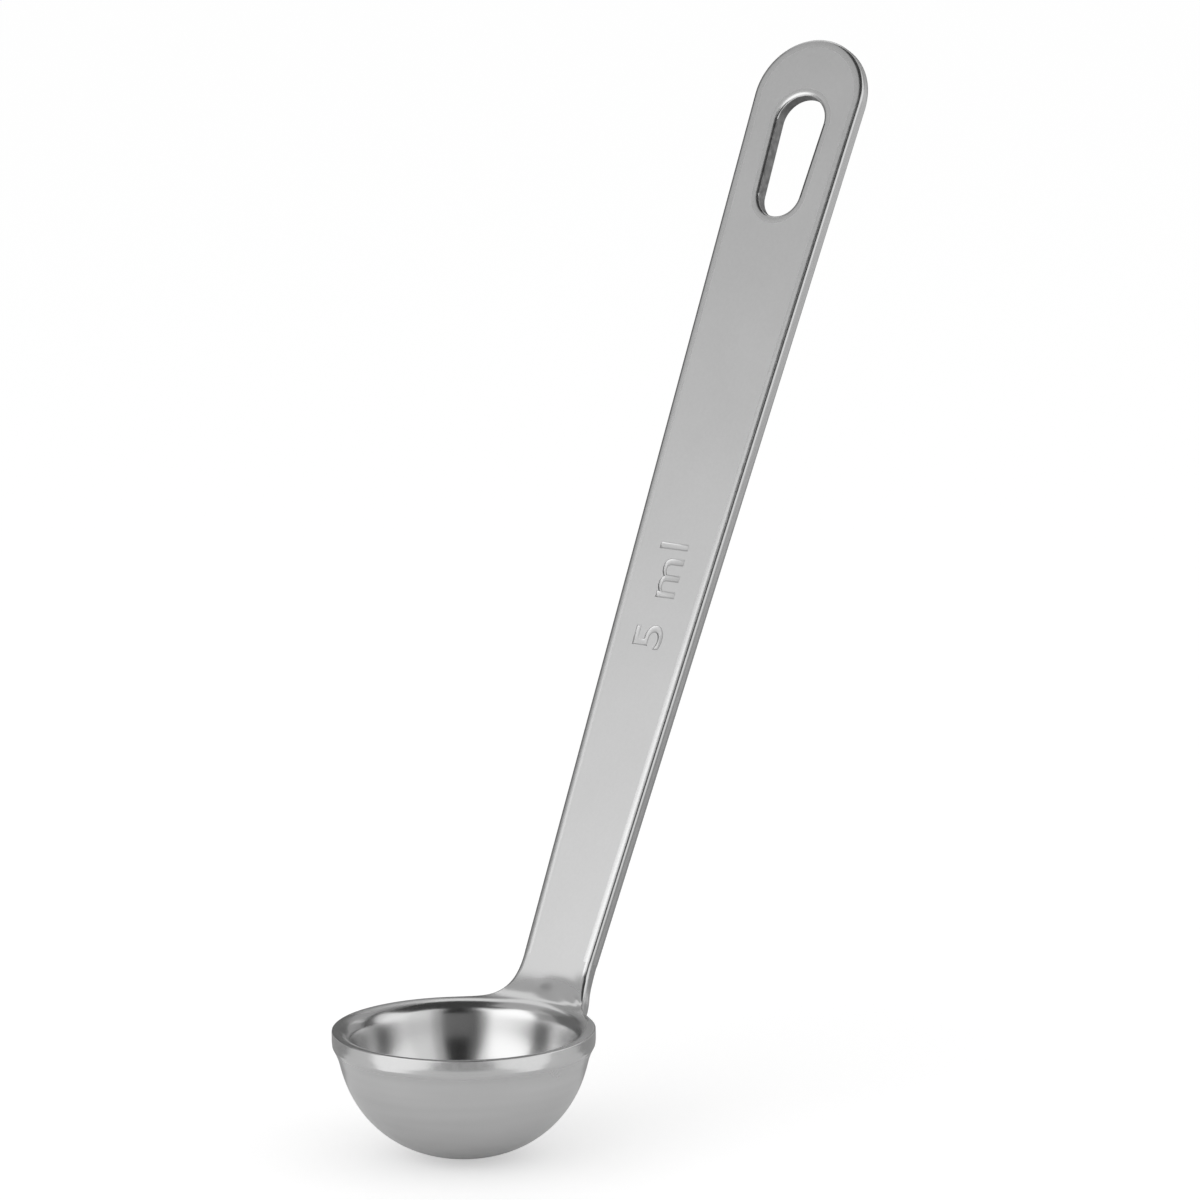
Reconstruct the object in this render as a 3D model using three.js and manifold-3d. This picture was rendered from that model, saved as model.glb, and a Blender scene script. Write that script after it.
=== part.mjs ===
// Measuring ladle of about 5 ml in stainless sheet: a drawn bowl with a narrow lip and a bent-up neck,
// and a flat tapered handle with a hanging slot, butt-welded to the neck.
// Millimetres, +Z up. The bowl stands on the origin, its axis is Z, and the handle leans out over +X.
import * as THREE from "three";
import { mergeVertices } from "three/addons/utils/BufferGeometryUtils.js";
import Module from "manifold-3d";

// Sheet
const sheet = 1.9; // thickness of both pieces
const edgeRound = 0.3; // rounding of every cut edge
const weldGap = 0.05; // root gap of the butt weld between neck and handle

// Bowl
const wallRadius = 14.9; // outside of the wall, at the level of the lip
const wallDepth = 15.2; // lip's top to the pole of the outside curve
const wallFullness = 2.2; // 2 is an ellipse, more is fuller at the shoulder
const restFlat = 2; // radius of the flat that the bowl stands on
const lipOverhang = 0.5; // lip beyond the wall
const lipRound = 1.9; // rounding from the lip down into the bowl
const underRound = 0.3; // hollow corner under the lip

// Neck
const bendInset = 1.6; // the bend starts this far inside the lip's edge
const bendRadius = 4.9; // on the inner, upper side of the bend
const leanDegrees = 30; // handle from the bowl's axis
const neckFillet = 10; // hollow corner from the lip to the handle's side, in the flat blank
const neckSink = 0.2; // how far the two fillets run into the lip
const tangLength = 0.6; // straight stretch of neck between the fillets and the weld

// Handle
const handleLength = 118.6; // end of the bend to the tip
const footWidth = 9.5; // across the end of the bend
const tipRadius = 7.5; // round end, tangent to both sides
const slotLength = 15.3; // hanging slot, end to end
const slotTopRadius = 3.2; // its wider end, towards the tip
const slotBottomRadius = 2.8;
const slotMargin = 7.3; // metal between the slot and the tip

// Smoothness
const turnSteps = 72;
const wallSteps = 16;
const roundSteps = 6;
const edgeSteps = 2;
const neckSteps = 24;
const tipSteps = 28;
const slotSteps = 16;

const lean = THREE.MathUtils.degToRad(leanDegrees);
const bendAngle = Math.PI / 2 - lean;
const wasm = await Module();
wasm.setup();

// A closed geometry as a solid that can be joined and cut.
function solidOf(geometry) {
  const bare = geometry.clone();
  bare.deleteAttribute("normal");
  bare.deleteAttribute("uv");
  const merged = mergeVertices(bare, 1e-4);
  return new wasm.Manifold(
    new wasm.Mesh({
      numProp: 3,
      vertProperties: new Float32Array(merged.attributes.position.array),
      triVerts: new Uint32Array(merged.index.array),
    }),
  );
}

function geometryOf(solid) {
  const mesh = solid.getMesh();
  const geometry = new THREE.BufferGeometry();
  geometry.setAttribute("position", new THREE.BufferAttribute(mesh.vertProperties, 3));
  geometry.setIndex(new THREE.BufferAttribute(mesh.triVerts, 1));
  geometry.computeVertexNormals();
  return geometry;
}

// Points of an arc in a plane, from one angle to another, both ends included.
function arc(centreX, centreY, radius, from, to, steps) {
  return Array.from({ length: steps + 1 }, (_, i) => {
    const angle = from + ((to - from) * i) / steps;
    return new THREE.Vector2(centreX + radius * Math.cos(angle), centreY + radius * Math.sin(angle));
  });
}

// Bowl: the wall is a superellipse, drawn below the lip's top and cut off by the small flat.
function curveDepth(radius, mouth, depth) {
  return depth * (1 - (radius / mouth) ** wallFullness) ** (1 / wallFullness);
}

function curveRadius(below, mouth, depth) {
  return mouth * (1 - (below / depth) ** wallFullness) ** (1 / wallFullness);
}

const lipRadius = wallRadius + lipOverhang;
const lipHeight = curveDepth(restFlat, wallRadius, wallDepth);
const innerRadius = wallRadius - sheet;
const innerDepth = wallDepth - sheet;

// Points down a wall, from a depth below the lip to a radius near the pole, evenly spread along the curve.
function wallPoints(mouth, depth, startBelow, endRadius) {
  const startTurn = Math.asin((startBelow / depth) ** (wallFullness / 2));
  const endTurn = Math.acos((endRadius / mouth) ** (wallFullness / 2));
  return Array.from({ length: wallSteps + 1 }, (_, i) => {
    const turn = startTurn + ((endTurn - startTurn) * i) / wallSteps;
    const radius = mouth * Math.cos(turn) ** (2 / wallFullness);
    const below = depth * Math.sin(turn) ** (2 / wallFullness);
    return new THREE.Vector2(radius, lipHeight - below);
  });
}

// Inside of the bowl, from the lip's flat top over the rounding and down to the pole.
function insideProfile() {
  const roundEdge = curveRadius(lipRound, innerRadius, innerDepth) + lipRound;
  const rounding = arc(roundEdge, lipHeight - lipRound, lipRound, Math.PI / 2, Math.PI, roundSteps);
  const wall = wallPoints(innerRadius, innerDepth, lipRound, 0);
  return [...rounding, ...wall.slice(1)];
}

function bowlProfile() {
  const lipUnder = lipHeight - sheet;
  const hollow = Math.min(underRound, lipOverhang - edgeRound);
  const hollowWall = curveRadius(sheet + hollow, wallRadius, wallDepth);
  const outside = wallPoints(wallRadius, wallDepth, sheet + hollow, restFlat).reverse();
  const corner = arc(hollowWall + hollow, lipUnder - hollow, hollow, Math.PI, Math.PI / 2, edgeSteps);
  const edgeX = lipRadius - edgeRound;
  const lower = arc(edgeX, lipUnder + edgeRound, edgeRound, -Math.PI / 2, 0, edgeSteps);
  const upper = arc(edgeX, lipHeight - edgeRound, edgeRound, 0, Math.PI / 2, edgeSteps);
  const inside = insideProfile();
  return [new THREE.Vector2(0, 0), ...outside, ...corner.slice(1), ...lower, ...upper, ...inside];
}

// A profile turned about the bowl's axis: the lathe turns about Y, so it is stood up on Z.
function turned(profile) {
  return new THREE.LatheGeometry(profile, turnSteps).rotateX(Math.PI / 2);
}

// The space that the bowl holds, used to clear the neck's root.
function cavity() {
  const inside = insideProfile().reverse();
  return solidOf(turned([...inside, new THREE.Vector2(0, lipHeight)]));
}

// Flat blank: u runs from the bowl's axis out along the neck and handle, y across.
const bendStart = lipRadius - bendInset;
const bendEnd = bendStart + bendRadius * bendAngle;
const footHalf = footWidth / 2;
const tipCentre = handleLength - tipRadius; // from the end of the bend
const sideAngle =
  Math.asin(tipRadius / Math.hypot(tipCentre, footHalf)) - Math.atan2(footHalf, tipCentre);

// A fillet touches the handle's side and the lip's circle from outside.
function filletCircle() {
  const out = new THREE.Vector2(-Math.sin(sideAngle), Math.cos(sideAngle));
  const along = new THREE.Vector2(Math.cos(sideAngle), Math.sin(sideAngle));
  const start = new THREE.Vector2(bendEnd, footHalf).addScaledVector(out, neckFillet);
  const reach = lipRadius - neckSink + neckFillet;
  const half = start.dot(along);
  const run = Math.sqrt(half * half - start.lengthSq() + reach * reach) - half;
  const centre = start.addScaledVector(along, run);
  const root = (centre.x * (reach - neckFillet)) / reach;
  const end = centre.x + neckFillet * Math.sin(sideAngle);
  return { centre, root, end };
}

const fillet = filletCircle();
const weldAt = Math.max(fillet.end, bendEnd) + tangLength;

function halfWidth(u) {
  if (u >= fillet.end) return footHalf + Math.tan(sideAngle) * (u - bendEnd);
  return fillet.centre.y - Math.sqrt(Math.max(neckFillet ** 2 - (u - fillet.centre.x) ** 2, 0));
}

// Where a point of the blank lies once the neck is bent, at a depth below the upper face.
function folded(u, y, below) {
  const turn = THREE.MathUtils.clamp((u - bendStart) / bendRadius, 0, bendAngle);
  const straight = Math.max(u - bendEnd, 0);
  const flat = Math.min(u, bendStart);
  const x = flat + (bendRadius + below) * Math.sin(turn) + straight * Math.sin(lean);
  const z = lipHeight + bendRadius - (bendRadius + below) * Math.cos(turn) + straight * Math.cos(lean);
  return new THREE.Vector3(x, y, z);
}

// Cross-section of the sheet as a rounded rectangle: pairs of place across and depth, anticlockwise.
function sheetSection(half) {
  const inner = half - edgeRound;
  const low = edgeRound - sheet;
  const quarter = Math.PI / 2;
  return [
    ...arc(inner, -edgeRound, edgeRound, 0, quarter, edgeSteps),
    ...arc(-inner, -edgeRound, edgeRound, quarter, 2 * quarter, edgeSteps),
    ...arc(-inner, low, edgeRound, 2 * quarter, 3 * quarter, edgeSteps),
    ...arc(inner, low, edgeRound, 3 * quarter, 4 * quarter, edgeSteps),
  ];
}

// Neck: the sheet's section carried along the bend, closed at both ends.
function neckGeometry() {
  const vertices = [];
  const faces = [];
  const ringSize = sheetSection(footHalf).length;
  for (let i = 0; i <= neckSteps; i++) {
    const u = fillet.root + ((weldAt - fillet.root) * i) / neckSteps;
    for (const point of sheetSection(halfWidth(u))) {
      vertices.push(...folded(u, point.x, -point.y).toArray());
    }
  }
  for (let i = 0; i < neckSteps; i++) {
    for (let j = 0; j < ringSize; j++) {
      const a = i * ringSize + j;
      const b = i * ringSize + ((j + 1) % ringSize);
      faces.push(a, b, b + ringSize, a, b + ringSize, a + ringSize);
    }
  }
  const last = neckSteps * ringSize;
  for (let j = 1; j < ringSize - 1; j++) {
    faces.push(0, j + 1, j, last, last + j, last + j + 1);
  }
  const geometry = new THREE.BufferGeometry();
  geometry.setAttribute("position", new THREE.Float32BufferAttribute(vertices, 3));
  geometry.setIndex(faces);
  return geometry;
}

function makeBowl() {
  const neck = solidOf(neckGeometry()).subtract(cavity());
  return geometryOf(solidOf(turned(bowlProfile())).add(neck));
}

// Handle, in its own plane: x from the end of the bend to the tip, y across, upper face at z = 0.
function slotPath() {
  const top = handleLength - slotMargin - slotTopRadius;
  const bottom = handleLength - slotMargin - slotLength + slotBottomRadius;
  const flare = Math.asin((slotTopRadius - slotBottomRadius) / (top - bottom));
  const wide = Math.PI / 2 + flare;
  const topEnd = arc(top, 0, slotTopRadius, wide, -wide, slotSteps);
  const bottomEnd = arc(bottom, 0, slotBottomRadius, -wide, wide - 2 * Math.PI, slotSteps);
  return new THREE.Path([...topEnd, ...bottomEnd]);
}

function makeHandle() {
  const weld = weldAt - bendEnd + weldGap; // from the end of the bend
  const foot = weld - sheet; // past the weld, so that the cut there is square
  const footSide = footHalf + Math.tan(sideAngle) * foot;
  const quarter = Math.PI / 2 + sideAngle;
  const outline = new THREE.Shape([
    new THREE.Vector2(foot, footSide),
    new THREE.Vector2(foot, -footSide),
    ...arc(tipCentre, 0, tipRadius, -quarter, quarter, tipSteps),
  ]);
  outline.holes.push(slotPath());
  const blade = new THREE.ExtrudeGeometry(outline, {
    depth: sheet - 2 * edgeRound,
    bevelThickness: edgeRound,
    bevelSize: edgeRound,
    bevelOffset: -edgeRound,
    bevelSegments: edgeSteps,
  });
  blade.translate(0, 0, edgeRound - sheet);
  const cutSize = 2 * (footSide + sheet);
  const cut = new THREE.BoxGeometry(cutSize, cutSize, cutSize).translate(weld - cutSize / 2, 0, 0);
  return geometryOf(solidOf(blade).subtract(solidOf(cut)));
}

const polishedSteel = new THREE.MeshStandardMaterial({ color: 0xc4c5c6, metalness: 1, roughness: 0.22 });
const satinSteel = new THREE.MeshStandardMaterial({ color: 0xc2c3c4, metalness: 1, roughness: 0.38 });

const bowl = new THREE.Mesh(makeBowl(), polishedSteel);
bowl.name = "bowl";

const handle = new THREE.Mesh(makeHandle(), satinSteel);
handle.name = "handle";
handle.position.copy(folded(bendEnd, 0, 0));
handle.rotation.y = -bendAngle;

const ladle = new THREE.Group();
ladle.name = "measuring_ladle";
ladle.add(bowl, handle);

export default ladle;
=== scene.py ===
import math

import bmesh
import bpy
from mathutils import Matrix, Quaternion, Vector


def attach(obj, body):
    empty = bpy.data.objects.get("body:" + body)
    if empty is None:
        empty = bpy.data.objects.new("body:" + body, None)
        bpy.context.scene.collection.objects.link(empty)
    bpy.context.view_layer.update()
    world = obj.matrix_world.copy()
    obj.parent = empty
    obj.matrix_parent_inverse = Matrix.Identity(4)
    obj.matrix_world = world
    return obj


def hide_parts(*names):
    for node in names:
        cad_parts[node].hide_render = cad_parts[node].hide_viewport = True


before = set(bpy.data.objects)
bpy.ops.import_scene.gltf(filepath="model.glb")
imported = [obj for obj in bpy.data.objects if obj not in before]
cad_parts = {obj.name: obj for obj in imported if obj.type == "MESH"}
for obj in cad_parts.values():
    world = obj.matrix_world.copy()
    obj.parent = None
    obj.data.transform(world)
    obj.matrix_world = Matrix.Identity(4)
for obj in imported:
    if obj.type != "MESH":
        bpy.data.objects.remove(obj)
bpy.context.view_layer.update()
print("frame loaded:", sorted(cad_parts))

hair = 1e-7  # points closer than this are one
slack = 1e-5  # give or take, where things are picked by their place
settleRounds = 20  # for values that settle when worked out again and again
edgeIndex, tornShadedIndex = 1, 2  # places in a piece's list of finishes


# selecting and finishing, the way it is done by hand

def clearSelection():
    if bpy.context.mode != "OBJECT":
        bpy.ops.object.mode_set(mode="OBJECT")
    bpy.ops.object.select_all(action="DESELECT")


def makeActive(piece):
    clearSelection()
    piece.select_set(True)
    bpy.context.view_layer.objects.active = piece


def editAll(piece):  # edit mode, with everything picked
    makeActive(piece)
    bpy.ops.object.mode_set(mode="EDIT")
    bpy.ops.mesh.select_all(action="SELECT")


def selectWhere(test, kind="VERT"):  # picks what lies where the test says, in edit mode
    bpy.ops.mesh.select_mode(type=kind)
    bpy.ops.mesh.select_all(action="DESELECT")
    data = bpy.context.object.data
    mesh = bmesh.from_edit_mesh(data)
    if kind == "VERT":
        for vert in mesh.verts:
            vert.select_set(test(vert.co))
    elif kind == "EDGE":
        for edge in mesh.edges:
            edge.select_set(all(test(vert.co) for vert in edge.verts))
    else:
        for face in mesh.faces:
            face.select_set(test(face.calc_center_median()))
    bmesh.update_edit_mesh(data)


def applyModifier(piece, kind, **settings):
    makeActive(piece)
    modifier = piece.modifiers.new(kind.title(), kind)
    for name, value in settings.items():
        setattr(modifier, name, value)
    bpy.ops.object.modifier_apply(modifier=modifier.name)


def cleanMesh(piece, gap=hair):  # no doubles, faces outwards
    editAll(piece)
    bpy.ops.mesh.remove_doubles(threshold=gap)
    bpy.ops.mesh.normals_make_consistent(inside=False)
    bpy.ops.object.mode_set(mode="OBJECT")


def cutAt(piece, place, normal, keepFront):  # a closed cut across the sheet
    editAll(piece)
    bpy.ops.mesh.bisect(
        plane_co=place, plane_no=normal, use_fill=True, threshold=hair,
        clear_inner=keepFront, clear_outer=not keepFront,
    )
    bpy.ops.object.mode_set(mode="OBJECT")


def ramp(value, low, high):  # 0 to 1, with soft ends
    share = min(max((value - low) / (high - low), 0), 1)
    return share * share * (3 - 2 * share)


# bowl and neck: one drawn sheet, dished, turned out at the lip and bent up into the neck

bowlSheet = {
    "lipRadius": 0.0154,
    "lipHeight": 0.01512,
    "innerRadius": 0.0130,
    "fullness": 2.2,  # 2 is an ellipse, more is squarer
    "flare": 0.0003,  # the wall opens out this much towards the lip
    "flareDepth": 0.004,
    "sheet": 0.0019,
    "lipFlat": 0.0005,
    "edgeRound": 0.00085,
    "edgeProfile": 0.68,  # 0.5 is round, more is squarer
    "edgeSteps": 4,
    "lipSharpness": 0.21,  # the lip's edge round as a share of the neck's
    "edgeGrows": (0.0150, 0.0190),  # from the one to the other, between these places
    "segments": 60,
    "wallRings": 10,
    "roundRings": 5,
    "lastRing": 87,  # degrees, short of the middle
    "smoothing": 2,
    "smoothAngle": 40,
}

underLip = {  # the corner between lip and wall
    "inner": 0.0143,  # radii that it lies between
    "outer": 0.0151,
    "top": 0.0018,  # depths that it lies between
    "bottom": 0.0034,
    "crowded": 0.0003,
    "depth": 0.0020,
    "slope": 0.0010,  # how far it slides down the wall
    "tuck": 0.997,  # and in, at each step
    "turns": (0.62, 0.73, 0.83, 0.94),  # from the neck; past the last it slides in full
    "blendRounds": 60,
    "blendShare": 0.5,
    "blendInner": 0.0140,
    "blendTop": (0.0012, 0.0019),  # depths and turns over which the blend comes and goes
    "blendBottom": (0.0045, 0.0032),
    "blendTurn": (0.5, 0.8),
}

neckBend = {
    "reach": 6,  # lip segments on each side that run into the neck
    "rows": 6,
    "leastBow": 1e-9,  # a row is never quite straight, so that it can be scaled again
    "fillet": 0.0100,
    "bendStart": 0.0138,
    "bendRadius": 0.0049,
    "lean": 30,  # degrees off upright
    "footHalf": 0.00475,
    "sideSlope": 0.0248,
    "weldPlace": 0.00232,  # past the end of the bend
    "spare": 0.004,
    "crown": 0.00025,  # the bend stands proud of its sides along a line
    "crownPlace": -0.0021,  # that lies this far to one side of the middle
    "crownReach": (0.0158, 0.0183),
    "crownSteps": (0.85, 0.7, 0.52, 0.3),  # shares of the way from that line to the sides
}

bendAngle = math.radians(90 - neckBend["lean"])
bendEnd = neckBend["bendStart"] + neckBend["bendRadius"] * bendAngle
handleAlong = Vector((math.cos(bendAngle), 0, math.sin(bendAngle)))
handleFoot = Vector((
    neckBend["bendStart"] + neckBend["bendRadius"] * math.sin(bendAngle),
    0,
    bowlSheet["lipHeight"] + neckBend["bendRadius"] * (1 - math.cos(bendAngle)),
))
weldPoint = handleFoot + handleAlong * neckBend["weldPlace"]


# steel

class Wire:  # a socket that takes part in sums
    def __init__(self, tree, socket):
        self.tree = tree
        self.socket = socket

    def node(self, kind, settings=None, **values):  # i0, i1 and so on name a socket by its number
        made = self.tree.nodes.new(kind)
        for name, value in (settings or {}).items():
            setattr(made, name, value)
        for name, value in values.items():
            numbered = name[1:].isdigit()
            entry = made.inputs[int(name[1:]) if numbered else name]
            if isinstance(value, Wire):
                self.tree.links.new(value.socket, entry)
            else:
                entry.default_value = value
        return made

    def out(self, kind, settings=None, output=0, **values):
        return Wire(self.tree, self.node(kind, settings, **values).outputs[output])

    def sum(self, operation, first, second):
        return self.out("ShaderNodeMath", {"operation": operation}, i0=first, i1=second)

    def __add__(self, other):
        return self.sum("ADD", self, other)

    def __radd__(self, other):
        return self.sum("ADD", other, self)

    def __sub__(self, other):
        return self.sum("SUBTRACT", self, other)

    def __rsub__(self, other):
        return self.sum("SUBTRACT", other, self)

    def __mul__(self, other):
        return self.sum("MULTIPLY", self, other)

    def __rmul__(self, other):
        return self.sum("MULTIPLY", other, self)

    def __truediv__(self, other):
        return self.sum("DIVIDE", self, other)

    def __pow__(self, other):
        return self.sum("POWER", self, other)


def newSteel(name):
    material = bpy.data.materials.new(name)
    material.use_nodes = True
    tree = material.node_tree
    shader = tree.nodes["Principled BSDF"]
    shader.inputs["Metallic"].default_value = 1
    return material, Wire(tree, None), shader


def feed(wire, shader, entry):
    wire.tree.links.new(wire.socket, shader.inputs[entry])


def grey(wire, value):  # a plain grey from one number
    return wire.out("ShaderNodeCombineColor", i0=value, i1=value, i2=value)


def objectPlace(wire):
    return wire.out("ShaderNodeTexCoord", output="Object")


def placeParts(wire, place):
    parts = wire.node("ShaderNodeSeparateXYZ", Vector=place).outputs
    return [Wire(wire.tree, out) for out in parts]


def softStep(wire, value, low, high):
    return wire.out("ShaderNodeMapRange", {"interpolation_type": "SMOOTHSTEP"}, i0=value, i1=low, i2=high)


def noise(wire, place, scale, detail=3.0):
    return wire.out("ShaderNodeTexNoise", Vector=place, Scale=scale, Detail=detail)


def stretched(wire, place, **values):
    return wire.out("ShaderNodeMapping", {"vector_type": "POINT"}, Vector=place, **values)


bowlSteel = {
    "colour": 0.62,
    "outsideRough": 0.28,
    "insideRough": 0.21,
    "spinLines": 70,
    "lineStretch": 14,
    "lineDepth": 0.05,
    "clouds": 180,
    "cloudDepth": 0.02,
    "cloudRough": 0.03,
    "outsideStart": (0.95, 1.05),  # within the wall, as a share of its middle
    "outsideDepth": (0.0005, 0.0014),  # within the sheet of lip and neck
}

handleSteel = {
    "colour": 0.635,
    "rough": 0.36,
    "grain": 2600,
    "grainStretch": 0.12,
    "grainDepth": 0.05,
    "grainRough": 0.08,
    "clouds": 120,
    "cloudDepth": 0.07,
    "cloudRough": 0.05,
    "archDrop": 0.0012,  # the satin ends in an arch at the bend
    "archEdge": (-0.0008, 0.0004),
}

edgeSteel = {
    "colour": 0.62,
    "rough": 0.2,
    "bladeRough": 0.22,
    "bladeStart": (0.001, 0.005),  # above the lip
    "clouds": 1500,
    "cloudDepth": 0.05,
    "cloudRough": 0.12,
}

tornShadedSteel = {  # the slot's torn, dull walls, painted dark grey as painted shade inside the slot
    # painted shade: this dark grey stands in for the shade inside the slot, not the steel's own colour
    "colour": 0.24,
    "rough": 0.35,
    "tears": 1500,
    "tearDepth": 0.3,
}


def outsideMask(wire, x, y, z):  # 1 on the satin outside, 0 on the polished inside
    s, b, n = bowlSteel, bowlSheet, neckBend
    radius = (x * x + y * y) ** 0.5
    below = wire.sum("MAXIMUM", b["lipHeight"] - z, 0)
    middleRadius = b["innerRadius"] + b["sheet"] / 2
    middleDepth = b["lipHeight"] - b["sheet"] / 2
    wallShare = (radius / middleRadius) ** b["fullness"] + (below / middleDepth) ** b["fullness"]
    past = wire.sum("MAXIMUM", x - n["bendStart"], 0)
    rise = b["lipHeight"] + n["bendRadius"] - z
    inSheet = (past * past + rise * rise) ** 0.5 - n["bendRadius"]
    return softStep(wire, wallShare, *s["outsideStart"]) * softStep(wire, inSheet, *s["outsideDepth"])


def satinMask(wire, x, y, z):  # 1 on the part of the neck that has the blade's satin
    h = handleSteel
    along = (x - handleFoot.x) * handleAlong.x + (z - handleFoot.z) * handleAlong.z
    arched = along + y * y * (h["archDrop"] / neckBend["footHalf"] ** 2)
    return softStep(wire, arched, *h["archEdge"])


def makeBowlSteel():
    s, h = bowlSteel, handleSteel
    material, wire, shader = newSteel("bowl_steel")
    place = objectPlace(wire)
    x, y, z = placeParts(wire, place)
    outside = outsideMask(wire, x, y, z)
    satin = satinMask(wire, x, y, z)
    turned = stretched(wire, place, Scale=(1, 1, s["lineStretch"]))
    lines = noise(wire, turned, s["spinLines"], detail=0.0)
    cloud = noise(wire, place, s["clouds"])
    tone = s["colour"] + (lines - 0.5) * s["lineDepth"] * outside + (cloud - 0.5) * s["cloudDepth"]
    feed(grey(wire, tone + satin * (h["colour"] - s["colour"])), shader, "Base Color")
    rough = s["insideRough"] + (s["outsideRough"] - s["insideRough"]) * outside
    rough = rough + (cloud - 0.5) * s["cloudRough"]
    feed(rough + (h["rough"] - rough) * satin, shader, "Roughness")
    return material


def makeHandleSteel():
    s = handleSteel
    material, wire, shader = newSteel("handle_steel")
    place = objectPlace(wire)
    alongBlade = stretched(wire, place, Rotation=(0, bendAngle, 0), Scale=(s["grainStretch"], 1, 1))
    grain = noise(wire, alongBlade, s["grain"])
    cloud = noise(wire, place, s["clouds"])
    tone = s["colour"] + (grain - 0.5) * s["grainDepth"] + (cloud - 0.5) * s["cloudDepth"]
    feed(grey(wire, tone), shader, "Base Color")
    rough = s["rough"] + (grain - 0.5) * s["grainRough"] + (cloud - 0.5) * s["cloudRough"]
    feed(rough, shader, "Roughness")
    return material


def makeEdgeSteel():
    s = edgeSteel
    material, wire, shader = newSteel("edge_steel")
    place = objectPlace(wire)
    z = placeParts(wire, place)[2]
    cloud = noise(wire, place, s["clouds"])
    start, full = (bowlSheet["lipHeight"] + height for height in s["bladeStart"])
    blade = softStep(wire, z, start, full)
    feed(grey(wire, s["colour"] + (cloud - 0.5) * s["cloudDepth"]), shader, "Base Color")
    rough = s["rough"] + blade * (s["bladeRough"] - s["rough"])
    feed(rough + (cloud - 0.5) * s["cloudRough"], shader, "Roughness")
    return material


def makeTornShadedSteel():
    s = tornShadedSteel
    material, wire, shader = newSteel("torn_shaded_steel")
    tears = noise(wire, objectPlace(wire), s["tears"], detail=2.0)
    # the walls' dark grey is painted shade, mottled by the tears
    feed(grey(wire, s["colour"] + (tears - 0.5) * s["tearDepth"]), shader, "Base Color")
    shader.inputs["Roughness"].default_value = s["rough"]
    return material


bowlFinish = makeBowlSteel()
handleFinish = makeHandleSteel()
edgeFinish = makeEdgeSteel()
tornShadedFinish = makeTornShadedSteel()
print("steel done")


# bowl: a ring of the lip, drawn down into the dish and out into the neck

def wallInside(below):  # the dish's inner radius at a depth below the lip
    b = bowlSheet
    dish = 1 - (below / (b["lipHeight"] - b["sheet"])) ** b["fullness"]
    flare = b["flare"] * max(1 - below / b["flareDepth"], 0) ** 2
    return b["innerRadius"] * dish ** (1 / b["fullness"]) + flare


def insideRings():  # radius and height of each ring, from the cut edge down to the middle
    b = bowlSheet
    depth = b["lipHeight"] - b["sheet"]
    roundMiddle = b["lipRadius"] - b["lipFlat"]
    lipRound = roundMiddle - b["innerRadius"]
    last = math.pi / 2
    nudge = 1e-6
    for _ in range(settleRounds):  # the round that runs smoothly into the wall
        meet = lipRound * (1 - math.cos(last))
        last = math.pi / 2 - math.atan((wallInside(meet) - wallInside(meet + nudge)) / nudge)
        lipRound = (roundMiddle - wallInside(meet)) / math.sin(last)
    rings = []
    for step in range(b["roundRings"] + 1):
        turn = last * step / b["roundRings"]
        radius = roundMiddle - lipRound * math.sin(turn)
        rings.append((radius, b["lipHeight"] - lipRound * (1 - math.cos(turn))))
    first = math.asin((meet / depth) ** (b["fullness"] / 2))
    for step in range(1, b["wallRings"] + 1):
        turn = first + (math.radians(b["lastRing"]) - first) * step / b["wallRings"]
        below = depth * math.sin(turn) ** (2 / b["fullness"])
        rings.append((wallInside(below), b["lipHeight"] - below))
    return rings


def filletMiddle():  # centre of the round between lip and neck, in the flat sheet
    n = neckBend
    reach = bowlSheet["lipRadius"] + n["fillet"]
    along = bendEnd
    for _ in range(settleRounds):
        side = n["footHalf"] + n["sideSlope"] * (along - bendEnd)
        across = side + n["fillet"] * math.hypot(1, n["sideSlope"])
        along = math.sqrt(reach ** 2 - across ** 2)
    return along, across


def neckHalf(along):
    n = neckBend
    side = n["footHalf"] + n["sideSlope"] * (along - bendEnd)
    middle, across = filletMiddle()
    if along >= middle:
        return side
    return across - math.sqrt(n["fillet"] ** 2 - (along - middle) ** 2)


def drawDish():  # the lip's ring goes in and down, ring by ring
    radius, height = bowlSheet["lipRadius"], bowlSheet["lipHeight"]
    for nextRadius, nextHeight in insideRings():
        bpy.ops.mesh.extrude_region_move(TRANSFORM_OT_translate={"value": (0, 0, nextHeight - height)})
        share = nextRadius / radius
        bpy.ops.transform.resize(value=(share, share, 1), center_override=(0, 0, nextHeight))
        radius, height = nextRadius, nextHeight
    bpy.ops.mesh.edge_face_add()


def drawNeck():  # rows of flat sheet out of one stretch of the lip; gives the place of the last row
    b, n = bowlSheet, neckBend
    half = 2 * math.pi / b["segments"] * n["reach"]
    rootAlong = b["lipRadius"] * math.cos(half)
    lipEdge = b["lipRadius"] - slack
    selectWhere(lambda co: co.xy.length > lipEdge and co.x > rootAlong - slack, "EDGE")
    along, bow, width = b["lipRadius"], b["lipRadius"] - rootAlong, b["lipRadius"] * math.sin(half)
    straight = filletMiddle()[0]
    shares = [(row + 1) / n["rows"] for row in range(n["rows"])]
    ends = [rootAlong + (straight - rootAlong) * share for share in shares]
    middles = [along + (straight - along) * share for share in shares]
    ends += [straight + n["spare"] / 2, straight + n["spare"]]
    middles += ends[-2:]
    for end, middle in zip(ends, middles):
        bpy.ops.mesh.extrude_region_move(TRANSFORM_OT_translate={"value": (middle - along, 0, 0)})
        nextBow = max(middle - end, n["leastBow"])
        nextWidth = neckHalf(end)
        bpy.ops.transform.resize(
            value=(nextBow / bow, nextWidth / width, 1), center_override=(middle, 0, b["lipHeight"])
        )
        along, bow, width = middle, nextBow, nextWidth
    return along


def crownGap(co):  # 0 on the crown's line, 1 at the neck's sides
    aside = co.y - neckBend["crownPlace"]
    return abs(aside) / (neckHalf(co.x) - math.copysign(neckBend["crownPlace"], aside))


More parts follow.
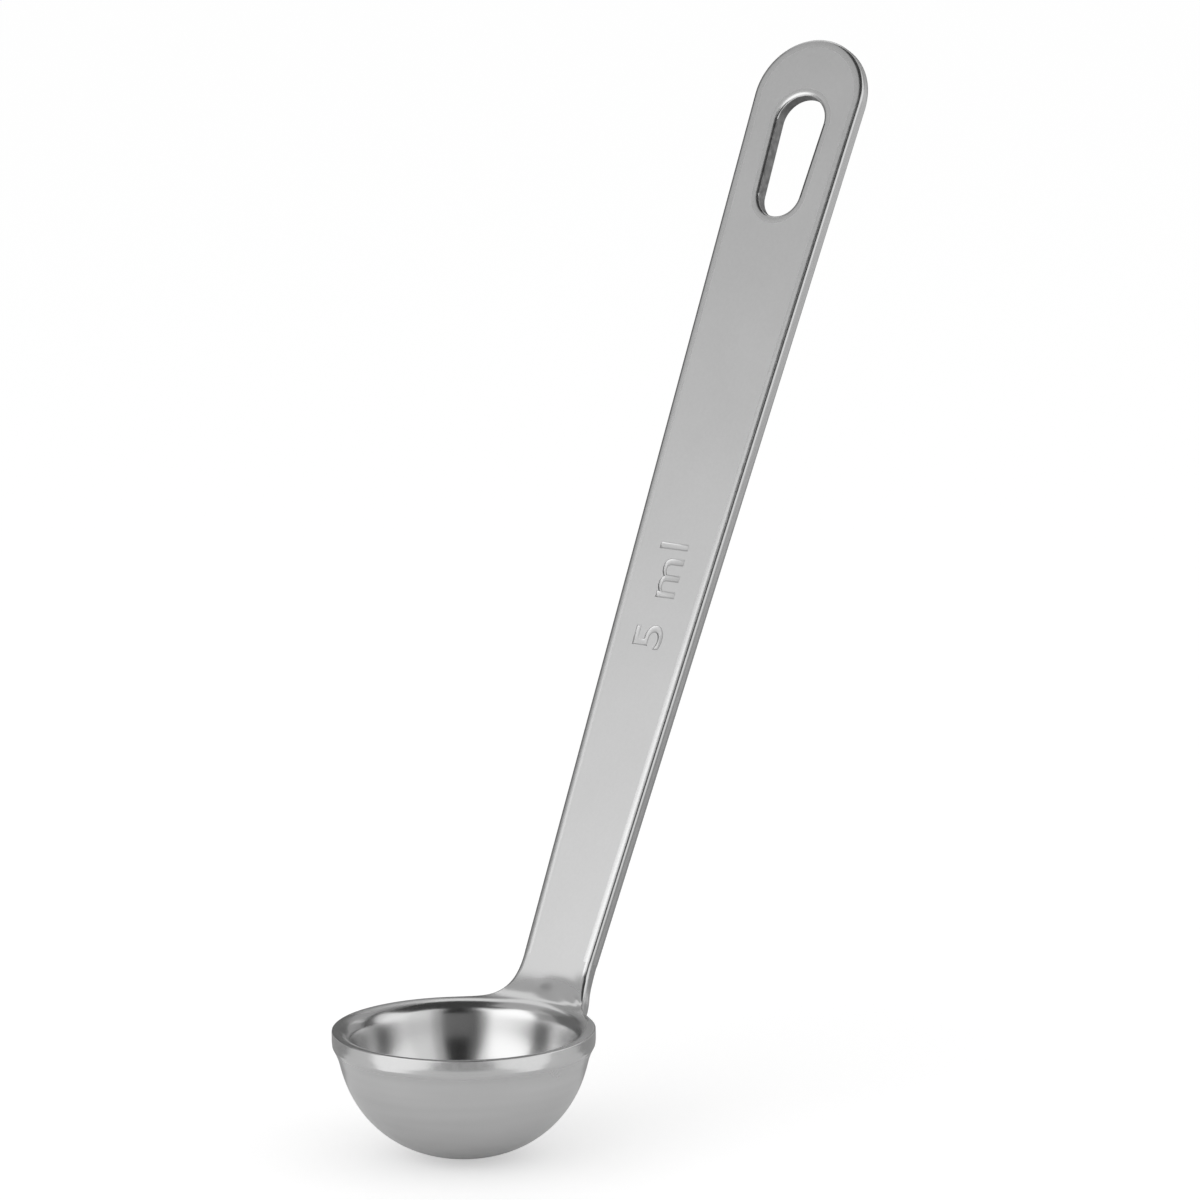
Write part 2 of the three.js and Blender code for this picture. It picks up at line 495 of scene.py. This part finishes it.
def raiseCrown():  # in the flat sheet, row by row towards the crown's line
    n = neckBend
    start, end = n["crownReach"]
    lift = n["crown"] / len(n["crownSteps"])
    for share in n["crownSteps"]:
        selectWhere(lambda co: start < co.x < end and crownGap(co) < share)
        bpy.ops.transform.translate(value=(0, 0, lift))


def bendUp(piece, lastRow):
    b, n = bowlSheet, neckBend
    hinge = bpy.data.objects.new("bend_line", None)
    bpy.context.collection.objects.link(hinge)
    hinge.location = (n["bendStart"], 0, b["lipHeight"])
    hinge.rotation_euler = (math.pi / 2, 0, 0)
    bpy.context.view_layer.update()
    low = -b["lipRadius"] - n["bendStart"]
    span = lastRow + b["lipRadius"]
    applyModifier(
        piece, "SIMPLE_DEFORM", deform_method="BEND", deform_axis="Z", origin=hinge, angle=bendAngle,
        limits=(-low / span, (bendEnd - n["bendStart"] - low) / span),
    )
    bpy.data.objects.remove(hinge)


def fromNeck(co):  # turn about the bowl's axis, away from the neck
    return abs(math.atan2(co.y, co.x))


def slopeUnderLip():
    b, u = bowlSheet, underLip

    def inCorner(co):
        return u["inner"] < co.xy.length < u["outer"] and u["top"] < b["lipHeight"] - co.z < u["bottom"]

    bpy.ops.object.mode_set(mode="EDIT")
    selectWhere(inCorner)
    bpy.ops.mesh.remove_doubles(threshold=u["crowded"])  # the crowded rings in the corner become one
    selectWhere(lambda co: inCorner(co) and fromNeck(co) > u["turns"][0])
    level = (0, 0, b["lipHeight"] - u["depth"])
    bpy.ops.transform.resize(value=(1, 1, 0), center_override=level)
    for limit in u["turns"]:  # and that one slides down the wall, less and less towards the neck
        selectWhere(lambda co: inCorner(co) and fromNeck(co) > limit)
        bpy.ops.transform.translate(value=(0, 0, -u["slope"] / len(u["turns"])))
        bpy.ops.transform.resize(value=(u["tuck"], u["tuck"], 1), center_override=(0, 0, 0))
    bpy.ops.object.mode_set(mode="OBJECT")


def weighEdges(piece):  # both corners of the cut edge get rounded, the lip's less than the neck's
    b = bowlSheet
    sides = {}
    for face in piece.data.polygons:
        for key in face.edge_keys:
            sides.setdefault(key, set()).add(face.material_index)
    weights = piece.data.attributes.new("bevel_weight_edge", "FLOAT", "EDGE")
    for edge in piece.data.edges:
        if len(sides[edge.key]) == 2:
            along = sum(piece.data.vertices[end].co.x for end in edge.vertices) / 2
            share = b["lipSharpness"] + (1 - b["lipSharpness"]) * ramp(along, *b["edgeGrows"])
            weights.data[edge.index].value = share


def blendUnderLip(piece):  # the corner between lip and wall, softened away from the neck
    u = underLip
    corner = piece.vertex_groups.new(name="under_lip")
    for vert in piece.data.vertices:
        below = bowlSheet["lipHeight"] - vert.co.z
        share = ramp(below, *u["blendTop"]) * ramp(below, *u["blendBottom"])
        share = share * ramp(fromNeck(vert.co), *u["blendTurn"])
        if vert.co.xy.length > u["blendInner"] and share > 0:
            corner.add([vert.index], share, "REPLACE")
    applyModifier(
        piece, "SMOOTH", factor=u["blendShare"], iterations=u["blendRounds"], vertex_group=corner.name
    )
    piece.vertex_groups.clear()


def makeBowl():
    b = bowlSheet
    clearSelection()
    bpy.ops.mesh.primitive_circle_add(
        vertices=b["segments"], radius=b["lipRadius"],
        location=(0, 0, b["lipHeight"]), rotation=(0, 0, math.pi / 2),
    )
    piece = bpy.context.object
    piece.name = "drawn_bowl"
    bpy.ops.object.transform_apply()
    bpy.ops.object.mode_set(mode="EDIT")
    drawDish()
    lastRow = drawNeck()
    raiseCrown()
    bpy.ops.mesh.select_all(action="SELECT")
    bpy.ops.mesh.normals_make_consistent(inside=False)
    bpy.ops.object.mode_set(mode="OBJECT")
    if piece.data.polygons[0].normal.z < 0:  # the sheet gets its thickness from the upper side down
        piece.data.flip_normals()
    bendUp(piece, lastRow)

    piece.data.materials.append(bowlFinish)
    piece.data.materials.append(edgeFinish)
    applyModifier(
        piece, "SOLIDIFY", thickness=b["sheet"], offset=-1, use_even_offset=True,
        material_offset_rim=edgeIndex,
    )
    slopeUnderLip()
    weighEdges(piece)
    applyModifier(
        piece, "BEVEL", width=b["edgeRound"], segments=b["edgeSteps"], profile=b["edgeProfile"],
        material=edgeIndex, limit_method="WEIGHT", use_clamp_overlap=False,
    )
    applyModifier(piece, "SUBSURF", levels=b["smoothing"], render_levels=b["smoothing"])
    blendUnderLip(piece)
    cutAt(piece, weldPoint, handleAlong, False)
    cleanMesh(piece)
    bpy.ops.object.shade_smooth_by_angle(angle=math.radians(b["smoothAngle"]))
    return piece


# handle: a flat tapered blade with a round end, a hanging slot and a pressed capacity mark

handleBlade = {
    "length": 0.1186,
    "tipRadius": 0.0075,
    "edgeRound": 0.00105,
    "edgeSteps": 12,
    "rollOver": 1.6,  # the edge's round is this much wider than deep
    "slotSharpness": 0.1,  # how much less round the slot's edges are
    "slotTop": (0.1081, 0.0032),  # place along the blade and radius
    "slotBottom": (0.0988, 0.0028),
    "tornShadedRim": 0.0004,  # the slot's sides are torn and painted in shade up to here, its ends less
    "tornShadedEnds": 0.00005,
    "punchLength": 3,  # in sheets
    "roundSteps": 96,
    "flatAngle": 0.5,  # degrees: what bends less is one face
    "sharpAngle": 50,
    "smoothAngle": 30,
    "flatWeight": 100,  # the large faces stay flat in the shading
}

capacityMark = {
    "words": "5 ml",
    "size": 0.0056,
    "stretch": 1.3,  # along the blade
    "spacing": 1.1,
    "place": 0.0407,
    "thinner": 0.00008,  # taken off the strokes before the slope is put on
    "slope": 0.00015,
    "slopeSteps": 2,
    "slopeToUpright": 20,  # the stroke's side is upright for a small share of the slope
    "shallow": 0.6,  # depth as a share of the slope's width
    "tooClose": 0.00001,  # points of the outline that become one
}


def placeOnHandle(piece):  # from flat, with X along the blade, to the leaning handle
    makeActive(piece)
    piece.rotation_mode = "QUATERNION"
    piece.rotation_quaternion = Quaternion((0, 1, 0), -bendAngle)
    piece.location = handleFoot
    bpy.ops.object.transform_apply()


def wrapRound():  # straight sides between two ends, from edit mode
    bpy.ops.mesh.select_all(action="SELECT")
    bpy.ops.mesh.convex_hull()
    bpy.ops.mesh.select_all(action="SELECT")
    bpy.ops.mesh.dissolve_limited(angle_limit=math.radians(handleBlade["flatAngle"]))
    bpy.ops.object.mode_set(mode="OBJECT")


def makeBlank(sheet):  # the blade's outline, with spare metal at the foot that is cut off at the weld
    h, n = handleBlade, neckBend
    clearSelection()
    bpy.ops.mesh.primitive_cylinder_add(
        vertices=h["roundSteps"], radius=h["tipRadius"], depth=sheet,
        location=(h["length"] - h["tipRadius"], 0, -sheet / 2),
    )
    piece = bpy.context.object
    piece.name = "handle_blade"
    bpy.ops.object.transform_apply()
    bpy.ops.object.mode_set(mode="EDIT")
    foot = n["weldPlace"]
    bpy.ops.mesh.primitive_cube_add(
        size=1, location=(-foot / 2, 0, -sheet / 2),
        scale=(foot, 2 * (n["footHalf"] - n["sideSlope"] * foot), sheet),
    )
    wrapRound()
    return piece


def addPunchEnd(place, radius, sheet):
    h = handleBlade
    bpy.ops.mesh.primitive_cylinder_add(
        vertices=h["roundSteps"], radius=radius, depth=h["punchLength"] * sheet,
        location=(place, 0, -sheet / 2),
    )


def punchSlot(piece, sheet):
    clearSelection()
    addPunchEnd(*handleBlade["slotTop"], sheet)
    punch = bpy.context.object
    bpy.ops.object.transform_apply()
    bpy.ops.object.mode_set(mode="EDIT")
    addPunchEnd(*handleBlade["slotBottom"], sheet)
    wrapRound()
    editAll(piece)
    bpy.ops.mesh.bisect(plane_co=(0, 0, 0), plane_no=(0, 1, 0), threshold=hair)  # leaves two plain halves
    applyModifier(piece, "BOOLEAN", operation="DIFFERENCE", object=punch, solver="EXACT")
    bpy.data.objects.remove(punch)


def slotGap(co):  # how far a place on the flat blade lies outside the slot
    (top, topRadius), (bottom, bottomRadius) = handleBlade["slotTop"], handleBlade["slotBottom"]
    share = min(max((co.x - bottom) / (top - bottom), 0), 1)
    radius = bottomRadius + share * (topRadius - bottomRadius)
    return math.hypot(co.x - bottom - share * (top - bottom), co.y) - radius


def rollEdges(piece):  # the outline's edges in full, the slot's a little less
    h = handleBlade
    makeActive(piece)
    bpy.ops.object.mode_set(mode="EDIT")
    bpy.ops.mesh.select_mode(type="EDGE")
    bpy.ops.mesh.select_all(action="DESELECT")
    bpy.ops.mesh.edges_select_sharp(sharpness=math.radians(h["sharpAngle"]))
    bpy.ops.transform.edge_bevelweight(value=1)
    selectWhere(lambda co: slotGap(co) < slack, "EDGE")
    bpy.ops.transform.edge_bevelweight(value=-h["slotSharpness"])
    bpy.ops.object.mode_set(mode="OBJECT")
    applyModifier(
        piece, "BEVEL", width=h["edgeRound"], segments=h["edgeSteps"], profile=bowlSheet["edgeProfile"],
        material=edgeIndex, limit_method="WEIGHT",
    )


def tearAndShadeSlot(piece, sheet):  # the torn, dull finish on the slot's walls, darkened with painted shade
    h = handleBlade

    def isTornShaded(co):
        straight = h["slotBottom"][0] < co.x < h["slotTop"][0]
        rim = h["tornShadedRim"] if straight else h["tornShadedEnds"]
        return slotGap(co) < rim and abs(co.z + sheet / 2) < sheet / 2 - slack

    bpy.ops.object.mode_set(mode="EDIT")
    selectWhere(isTornShaded, "FACE")
    piece.active_material_index = tornShadedIndex
    bpy.ops.object.material_slot_assign()
    bpy.ops.object.mode_set(mode="OBJECT")


def pressMark(piece):
    c = capacityMark
    clearSelection()
    bpy.ops.object.text_add()
    mark = bpy.context.object
    mark.data.body = c["words"]
    mark.data.size = c["size"]
    mark.data.offset = -c["thinner"]
    mark.data.extrude = c["slope"] / c["slopeToUpright"]
    mark.data.bevel_depth = c["slope"]
    mark.data.bevel_resolution = c["slopeSteps"]
    mark.data.align_y = "CENTER"
    mark.data.space_character = c["spacing"]
    bpy.ops.object.convert(target="MESH")
    mark = bpy.context.object
    cleanMesh(mark, c["tooClose"])
    editAll(mark)
    bpy.ops.mesh.intersect_boolean(operation="UNION", use_self=True, solver="EXACT")  # strokes that overlap
    bpy.ops.object.mode_set(mode="OBJECT")
    mark.scale = (c["stretch"], 1, c["shallow"])
    mark.location = (c["place"], 0, 0)
    bpy.ops.object.transform_apply()
    applyModifier(piece, "BOOLEAN", operation="DIFFERENCE", object=mark, solver="EXACT")
    bpy.data.objects.remove(mark)


def makeHandle():
    h = handleBlade
    sheet = bowlSheet["sheet"] * h["rollOver"]  # pressed flat again once its edges are round
    piece = makeBlank(sheet)
    punchSlot(piece, sheet)
    for finish in (handleFinish, edgeFinish, tornShadedFinish):
        piece.data.materials.append(finish)
    rollEdges(piece)
    tearAndShadeSlot(piece, sheet)
    piece.scale = (1, 1, 1 / h["rollOver"])
    bpy.ops.object.transform_apply()
    pressMark(piece)
    placeOnHandle(piece)
    cutAt(piece, weldPoint, handleAlong, True)
    cleanMesh(piece)
    bpy.ops.object.shade_smooth_by_angle(angle=math.radians(h["smoothAngle"]))
    applyModifier(piece, "WEIGHTED_NORMAL", weight=h["flatWeight"], keep_sharp=True)
    return piece


bowlPiece = makeBowl()
print("bowl made:", len(bowlPiece.data.polygons), "faces")
handlePiece = makeHandle()
print("handle made:", len(handlePiece.data.polygons), "faces")

for piece, node, finish in ((bowlPiece, "bowl", "bowl_steel"), (handlePiece, "handle", "handle_steel")):
    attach(piece, "root")
    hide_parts(node)


# studio: floor, softboxes, cards and camera; the cards show only in reflections

studio = {
    "floorSize": 30,
    "floorGrey": 0.72,
    "floorRough": 0.9,
    "floorLift": 0.45,  # brings the floor to white for the camera
    "floorGleam": 0.1,  # and lightens it in the steel
    "worldWhite": 1.0,
    "worldFill": 0.75,
    "middle": (0.03, 0, 0.05),
    "lamps": {  # turn from the camera, elevation, distance, width, height, brightness
        "left_softbox": (-50, 21.5, 0.34, 0.33, 0.27, 0.65),
        "right_softbox": (75, 24, 0.8, 0.45, 0.6, 0.2),
    },
    "cards": {  # turn from the camera, elevation, distance, width, height, grey
        "gap_left_side": (-23, 24, 0.7, 0.13, 0.62, 0.5),
        "gap_left_edge": (-12.5, 22, 0.7, 0.13, 0.56, 0.12),
        "gap_right_edge": (26.5, 22, 0.7, 0.13, 0.56, 0.58),
        "camera_card": (7, 6, 0.8, 0.43, 0.2, 0.2),
        "ceiling_card": (15, 79, 0.62, 1.2, 0.8, 0.06),
        "left_top_card": (-100, 60, 0.5, 0.5, 0.2, 0.55),
        "left_side_card": (-90, 40, 0.6, 0.28, 0.2, 0.6),
        "left_wing_card": (-92, 18, 0.6, 0.32, 0.34, 0.4),
        "left_rear_card": (-130, 16, 0.6, 0.5, 0.34, 0.18),
        "left_rear_top_card": (-126, 40, 0.62, 0.36, 0.18, 0.32),
        "neck_root_card": (-157, 26, 0.59, 0.16, 0.14, 0.12),
        "rear_card": (180, 11, 0.6, 0.69, 0.24, 0.15),
        "rear_top_card": (177, 29, 0.62, 0.45, 0.14, 0.42),
        "right_rear_card": (142, 11, 0.6, 0.4, 0.24, 0.4),
        "right_rear_top_card": (142, 42, 0.64, 0.42, 0.36, 0.46),
    },
    "floorCards": {  # from the bowl's axis, seen from the camera: right, away, width, depth, grey
        "left_floor_card": (-0.12, -0.11, 0.18, 0.19, 1.2),
        "front_floor_card": (0, -0.18, 0.06, 0.25, 0.4),
        "right_floor_card": (0.105, -0.11, 0.15, 0.18, 1.08),
        "rear_floor_card": (0, 0.27, 0.6, 0.5, 0.35),
    },
    "floorCardHeight": 0.0004,
}

gapArch = {  # unlit, over the camera, between the softboxes
    "turn": 7,
    "radius": 0.9,
    "width": 0.48,
    "steps": 180,
    "start": 2,  # degrees up from level
    "end": 62,
    "grey": 0.02,
}

photoView = {
    "aim": (0.03625, 0.00501, 0.0588),
    "azimuth": -55.606,
    "elevation": 12.365,
    "roll": -0.556,
    "distance": 1.5218,
    "lens": 386.64,
    "sensor": 36,
    "farthest": 100,
}


def viewSide(turn, elevation):  # unit vector from the object; turn is to the right of the camera
    a, e = math.radians(photoView["azimuth"] + turn), math.radians(elevation)
    return Vector((math.sin(a) * math.cos(e), -math.cos(a) * math.cos(e), math.sin(e)))


def makeCamera():
    v = photoView
    camera = bpy.data.objects.new("camera", bpy.data.cameras.new("camera"))
    bpy.context.collection.objects.link(camera)
    back = viewSide(0, v["elevation"])
    camera.location = Vector(v["aim"]) + back * v["distance"]
    camera.rotation_mode = "QUATERNION"
    turn = (-back).to_track_quat("-Z", "Y")
    camera.rotation_quaternion = turn @ Quaternion((0, 0, 1), math.radians(v["roll"]))
    camera.data.lens = v["lens"]
    camera.data.sensor_width = v["sensor"]
    camera.data.clip_end = v["farthest"]
    bpy.context.scene.camera = camera


def seenRays(wire, *kinds):
    path = wire.node("ShaderNodeLightPath").outputs
    seen = Wire(wire.tree, path[kinds[0]])
    for kind in kinds[1:]:
        seen = wire.sum("MAXIMUM", seen, Wire(wire.tree, path[kind]))
    return seen


def makeFloor():
    clearSelection()
    bpy.ops.mesh.primitive_plane_add(size=studio["floorSize"])
    floor = bpy.context.object
    floor.name = "floor"
    material = bpy.data.materials.new("floor")
    material.use_nodes = True
    tree = material.node_tree
    wire = Wire(tree, None)
    shader = tree.nodes["Principled BSDF"]
    shader.inputs["Base Color"].default_value = (studio["floorGrey"],) * 3 + (1,)
    shader.inputs["Roughness"].default_value = studio["floorRough"]
    shader.inputs["Specular IOR Level"].default_value = 0
    shader.inputs["Emission Color"].default_value = (1, 1, 1, 1)
    mirrored = seenRays(wire, "Is Glossy Ray", "Is Transmission Ray") * studio["floorGleam"]
    feed(seenRays(wire, "Is Camera Ray") * studio["floorLift"] + mirrored, shader, "Emission Strength")
    floor.data.materials.append(material)


def makeWorld():
    world = bpy.data.worlds.new("studio")
    bpy.context.scene.world = world
    world.use_nodes = True
    wire = Wire(world.node_tree, None)
    seen = seenRays(wire, "Is Camera Ray", "Is Glossy Ray", "Is Transmission Ray")
    back = world.node_tree.nodes["Background"]
    back.inputs["Color"].default_value = (1, 1, 1, 1)
    feed(studio["worldFill"] + seen * (studio["worldWhite"] - studio["worldFill"]), back, "Strength")


def addLamp(name, turn, elevation, distance, width, height, brightness):
    lamp = bpy.data.objects.new(name, bpy.data.lights.new(name, "AREA"))
    bpy.context.collection.objects.link(lamp)
    back = viewSide(turn, elevation)
    lamp.location = Vector(studio["middle"]) + back * distance
    lamp.rotation_mode = "QUATERNION"
    lamp.rotation_quaternion = (-back).to_track_quat("-Z", "Y")
    lamp.data.shape = "RECTANGLE"
    lamp.data.size = width
    lamp.data.size_y = height
    lamp.data.energy = brightness * width * height * math.pi


def finishCard(card, name, shade):
    card.name = name
    material = bpy.data.materials.new(name)
    material.use_nodes = True
    shader = material.node_tree.nodes["Principled BSDF"]
    shader.inputs["Base Color"].default_value = (0, 0, 0, 1)
    shader.inputs["Specular IOR Level"].default_value = 0
    shader.inputs["Emission Color"].default_value = (shade, shade, shade, 1)
    shader.inputs["Emission Strength"].default_value = 1
    card.data.materials.append(material)
    card.visible_camera = card.visible_diffuse = card.visible_shadow = False


def addCard(name, turn, elevation, distance, width, height, shade):
    clearSelection()
    bpy.ops.mesh.primitive_plane_add(size=1)
    card = bpy.context.object
    back = viewSide(turn, elevation)
    card.scale = (width, height, 1)
    card.rotation_mode = "QUATERNION"
    card.rotation_quaternion = back.to_track_quat("Z", "Y")
    card.location = Vector(studio["middle"]) + back * distance
    finishCard(card, name, shade)


def addFloorCard(name, right, away, width, depth, shade):
    clearSelection()
    bpy.ops.mesh.primitive_plane_add(size=1)
    card = bpy.context.object
    card.scale = (width, depth, 1)
    card.rotation_euler = (0, 0, math.radians(photoView["azimuth"]))
    raised = Vector((0, 0, studio["floorCardHeight"]))
    card.location = viewSide(90, 0) * right - viewSide(0, 0) * away + raised
    finishCard(card, name, shade)


def addGap():
    g = gapArch
    clearSelection()
    bpy.ops.mesh.primitive_cylinder_add(
        vertices=g["steps"], radius=g["radius"], depth=g["width"],
        end_fill_type="NOTHING", rotation=(math.pi / 2, 0, 0),
    )
    arch = bpy.context.object
    bpy.ops.object.transform_apply()
    bpy.ops.object.mode_set(mode="EDIT")
    selectWhere(lambda co: not g["start"] < math.degrees(math.atan2(co.z, -co.x)) < g["end"], "FACE")
    bpy.ops.mesh.delete(type="FACE")
    bpy.ops.object.mode_set(mode="OBJECT")
    arch.rotation_mode = "XYZ"
    arch.rotation_euler = (0, 0, math.radians(photoView["azimuth"] + g["turn"] + 90))
    arch.location = studio["middle"]
    finishCard(arch, "gap_arch", g["grey"])


makeFloor()
makeWorld()
for name, values in studio["lamps"].items():
    addLamp(name, *values)
for name, values in studio["cards"].items():
    addCard(name, *values)
for name, values in studio["floorCards"].items():
    addFloorCard(name, *values)
addGap()
makeCamera()
bpy.context.scene.view_settings.view_transform = "Standard"
print("studio done")
